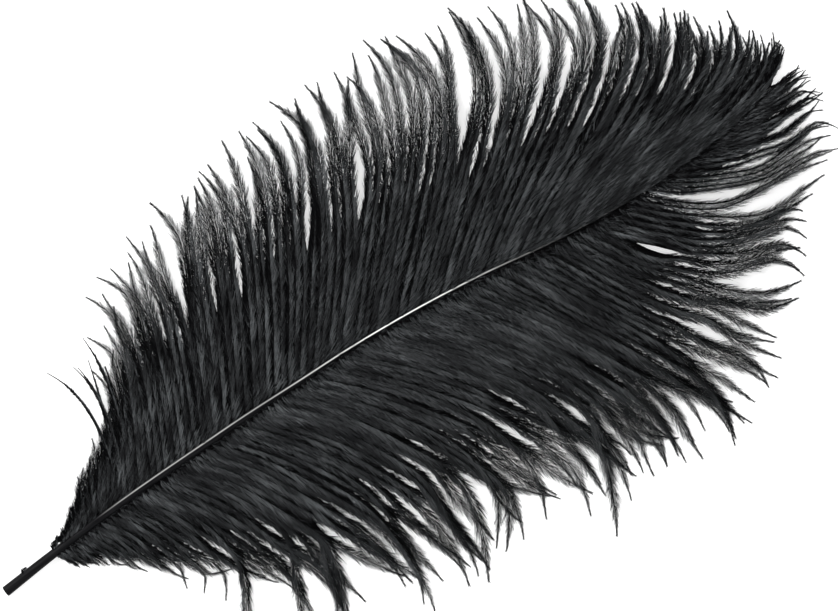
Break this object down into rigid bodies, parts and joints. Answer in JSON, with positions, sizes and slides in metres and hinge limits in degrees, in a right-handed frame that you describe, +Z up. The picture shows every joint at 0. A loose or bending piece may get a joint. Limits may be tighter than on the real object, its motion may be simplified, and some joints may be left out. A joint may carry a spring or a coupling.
{
  "type": "ostrich feather",
  "caption": "Black ostrich plume lying on a surface: a bowed tapering shaft with a bare quill and two broad soft drooping vanes.",
  "frame": {"origin": "centre of the plume's outline, on the surface it lies on", "axes": "+X along the shaft from the quill to the tip, +Y towards the left vane, +Z up from the surface"},
  "size_m": [0.3432, 0.1826, 0.0185],
  "materials": {
    "horn": "black-dyed keratin of the quill and rachis, satin, with a pale worn ridge along its top",
    "barbs": "black-dyed downy barbs with loose barbules, soft and dull with a faint cool sheen"
  },
  "bodies": {
    "root": {"shaft": "horn", "left_vane": "barbs", "right_vane": "barbs"}
  },
  "joints": []
}
